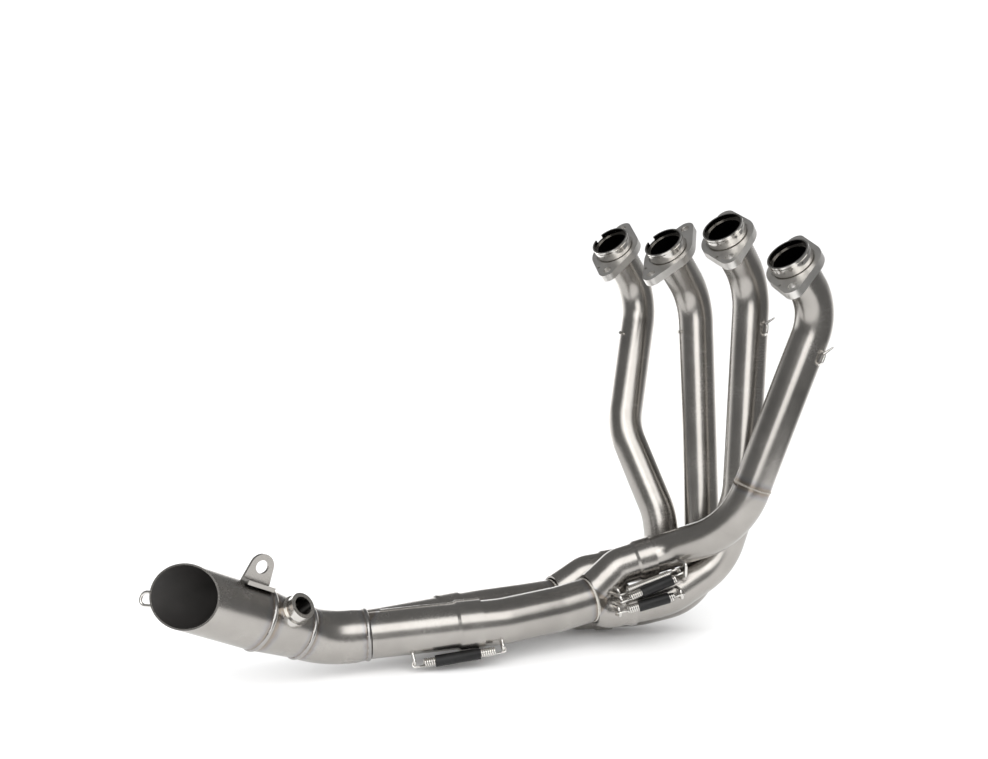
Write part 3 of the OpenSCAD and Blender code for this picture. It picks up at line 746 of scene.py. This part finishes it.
def hook_points(eye, out, way):
    """The hook's points from its tip, round the bar, to the coil. way points into the spring."""
    reach = LOOP_R + WIRE_R
    points = []
    for step in range(HOOK_STEPS + 1):
        angle = math.radians(HOOK_FROM + HOOK_SWEEP * step / HOOK_STEPS)
        points.append(eye - way * reach * math.cos(angle) + out * reach * math.sin(angle))
    return points


def spring_path(start, end, root_a, root_b):
    way = (end - start).normalized()
    total = (end - start).length
    root_b = root_b or end - Vector((0, 0, 9))
    out_a = (start - root_a) - way * (start - root_a).dot(way)
    out_b = (end - root_b) - way * (end - root_b).dot(way)
    out_a.normalize()
    out_b.normalize()
    side = way.cross(out_a)
    turns = (total - 2 * COIL_MARGIN) / (2 * WIRE_R * COIL_GAP)
    final = math.atan2(out_b.dot(side), out_b.dot(out_a))
    turns = math.floor(turns) + (final / math.tau) % 1.0
    count = int(turns * STEPS_PER_TURN)
    points = hook_points(start, out_a, way)
    for step in range(count + 1):
        angle = math.tau * turns * step / count
        radius = (COIL_R - WIRE_R) * min(1, NARROW + (1 - NARROW) * min(step, count - step) / NARROW_STEPS)
        shift = COIL_MARGIN + (total - 2 * COIL_MARGIN) * step / count
        points.append(start + way * shift + (out_a * math.cos(angle) + side * math.sin(angle)) * radius)
    points += reversed(hook_points(end, out_b, -way))
    return points


for node, spec in EYES.items():
    points = spring_path(*spec)
    piece = run_tree(node + "_wire", chain(points, [0] * (len(points) - 2)), sweep,
                     {"Radius": WIRE_R * MM, "Sides": 12, "Bend Steps": 1, "Caps": True,
                      "Material": wire_steel})
    hand_over(piece, "wire_steel", node)
    print(node, len(piece.data.polygons), "faces")

# %% [markdown]
# A black sleeve on three of the springs keeps them from ringing. It is a short
# soft tube with rounded rims.

# %% Sleeves
SLEEVE_WALL = 1.0
SLEEVE_EDGE = 0.35
SLEEVES = {"sleeve_upper": ("spring_upper", 20, 12), "sleeve_lower": ("spring_lower", 19, 13),
           "sleeve_under": ("spring_under", 19, 22)}
for node, (spring, from_start, from_end) in SLEEVES.items():
    start, end = EYES[spring][0], EYES[spring][1]
    way = (end - start).normalized()
    piece = run_tree(node + "_skin", chain([start + way * from_start, end - way * from_end], []), sweep,
                     {"Radius": (COIL_R + SLEEVE_WALL) * MM, "Sides": 32, "Bend Steps": 1, "Caps": False,
                      "Material": rubber})
    thick = piece.modifiers.new("wall", "SOLIDIFY")
    thick.thickness = SLEEVE_WALL * MM
    thick.offset = -1
    edges = piece.modifiers.new("edges", "BEVEL")
    edges.width = SLEEVE_EDGE * MM
    edges.segments = 3
    edges.limit_method = "ANGLE"
    settle(piece)
    hand_over(piece, "rubber", node)

# %% [markdown]
# A polished pipe shows the room and not itself. The rest of the room is kept
# dim, so that each pipe has one bright band between dark ones. The room's walls
# are a sphere that only reflections see. The floor is plain white, and its
# outer part is hidden from reflections, because in a studio the light falls
# off away from the table.

# %% Floor and walls
FLOOR_RADIUS = 9.0
TABLE_RADIUS = 0.62
WALL_RADIUS = 5.0


def disc_ring(name, inner, outer, sides=96):
    """A flat ring on the floor, or a disc where inner is nothing."""
    mesh = bpy.data.meshes.new(name)
    turns = [math.tau * k / sides for k in range(sides)]
    corners = [(outer * math.cos(t), outer * math.sin(t), 0) for t in turns]
    faces = [tuple(range(sides))]
    if inner:
        corners += [(inner * math.cos(t), inner * math.sin(t), 0) for t in turns]
        faces = [(k, (k + 1) % sides, sides + (k + 1) % sides, sides + k) for k in range(sides)]
    mesh.from_pydata(corners, [], faces)
    return mesh


floor_material = bpy.data.materials.new("floor_white")
floor_material.use_nodes = True
floor_shader = floor_material.node_tree.nodes["Principled BSDF"]
floor_shader.inputs["Base Color"].default_value = (0.93, 0.93, 0.93, 1)
floor_shader.inputs["Roughness"].default_value = 0.8
floor_shader.inputs["Specular IOR Level"].default_value = 0.1
for name, inner, outer in (("floor", None, TABLE_RADIUS), ("floor_outer", TABLE_RADIUS, FLOOR_RADIUS)):
    floor = bpy.data.objects.new(name, disc_ring(name, inner, outer))
    floor.data.materials.append(floor_material)
    floor.visible_glossy = name == "floor"
    bpy.context.scene.collection.objects.link(floor)

walls_material = bpy.data.materials.new("studio_walls")
walls_material.use_nodes = True
walls_tree = walls_material.node_tree
walls_tree.nodes.clear()
outward = add(walls_tree, "ShaderNodeVectorMath", {"operation": "NORMALIZE"},
              i0=add(walls_tree, "ShaderNodeTexCoord").outputs["Object"]).outputs[0]
behind = add(walls_tree, "ShaderNodeVectorMath", {"operation": "DOT_PRODUCT"},
             i0=outward, i1=level).outputs["Value"]
height = add(walls_tree, "ShaderNodeSeparateXYZ", None, i0=outward).outputs["Z"]
lit_side = add(walls_tree, "ShaderNodeMapRange", {"interpolation_type": "SMOOTHSTEP"},
               i0=behind, i1=0.1, i2=0.95, i3=0.0, i4=2.3).outputs[0]
low_down = add(walls_tree, "ShaderNodeMapRange", {"interpolation_type": "SMOOTHSTEP"},
               i0=height, i1=0.05, i2=0.3, i3=1.0, i4=0.0).outputs[0]
strength = maths(walls_tree, "MULTIPLY_ADD", lit_side, low_down, 0.25)
glowing = add(walls_tree, "ShaderNodeEmission", None, Strength=strength)
walls_out = walls_tree.nodes.new("ShaderNodeOutputMaterial")
walls_tree.links.new(glowing.outputs[0], walls_out.inputs[0])

mesh = bpy.data.meshes.new("walls")
RINGS, SIDES = 32, 48
corners, quads = [], []
for ring_number in range(RINGS + 1):
    tall = math.radians(-89.9 + 179.8 * ring_number / RINGS)
    for side_number in range(SIDES):
        turn = math.tau * side_number / SIDES
        corners.append((WALL_RADIUS * math.cos(tall) * math.cos(turn),
                        WALL_RADIUS * math.cos(tall) * math.sin(turn),
                        WALL_RADIUS * math.sin(tall)))
for ring_number in range(RINGS):
    for side_number in range(SIDES):
        a, b = ring_number * SIDES + side_number, ring_number * SIDES + (side_number + 1) % SIDES
        quads.append((a, b, b + SIDES, a + SIDES))
mesh.from_pydata(corners, [], quads)
walls = bpy.data.objects.new("walls", mesh)
walls.data.materials.append(walls_material)
for ray in ("camera", "diffuse", "transmission", "volume_scatter", "shadow"):
    setattr(walls, "visible_" + ray, False)
bpy.context.scene.collection.objects.link(walls)

# %% [markdown]
# The world is plain white, as the photograph's background is. Three soft boxes
# light the header: a low one on the camera's side, a large one overhead, and a
# smaller one further round to the left.

# %% World and soft boxes
WORLD_STRENGTH = 1.12
LAMP_CENTRE = Vector((0, 0, 0.15))
world = bpy.data.worlds.new("room")
bpy.context.scene.world = world
world.use_nodes = True
world.node_tree.nodes["Background"].inputs["Color"].default_value = (1, 1, 1, 1)
world.node_tree.nodes["Background"].inputs["Strength"].default_value = WORLD_STRENGTH
bpy.context.scene.view_settings.view_transform = "Standard"


def soft_box(name, turn, tall, distance, size, radiance):
    """A rectangular light that faces the header. turn and tall are its direction in degrees."""
    way = Vector((math.cos(math.radians(tall)) * math.cos(math.radians(turn)),
                  math.cos(math.radians(tall)) * math.sin(math.radians(turn)),
                  math.sin(math.radians(tall))))
    data = bpy.data.lights.new(name, "AREA")
    data.shape = "RECTANGLE"
    data.size, data.size_y = size
    data.energy = math.pi * radiance * size[0] * size[1]
    lamp = bpy.data.objects.new(name, data)
    lamp.location = way * distance + LAMP_CENTRE
    lamp.rotation_euler = (-way).to_track_quat("-Z", "Y").to_euler()
    lamp.visible_camera = False
    bpy.context.scene.collection.objects.link(lamp)


soft_box("front_box", 225, 12, 2.4, (1.35, 1.5), 2.5)
soft_box("top_box", 245, 48, 2.2, (2.4, 1.6), 2.4)
soft_box("side_box", 201, 34, 2.4, (1.0, 0.9), 2.2)
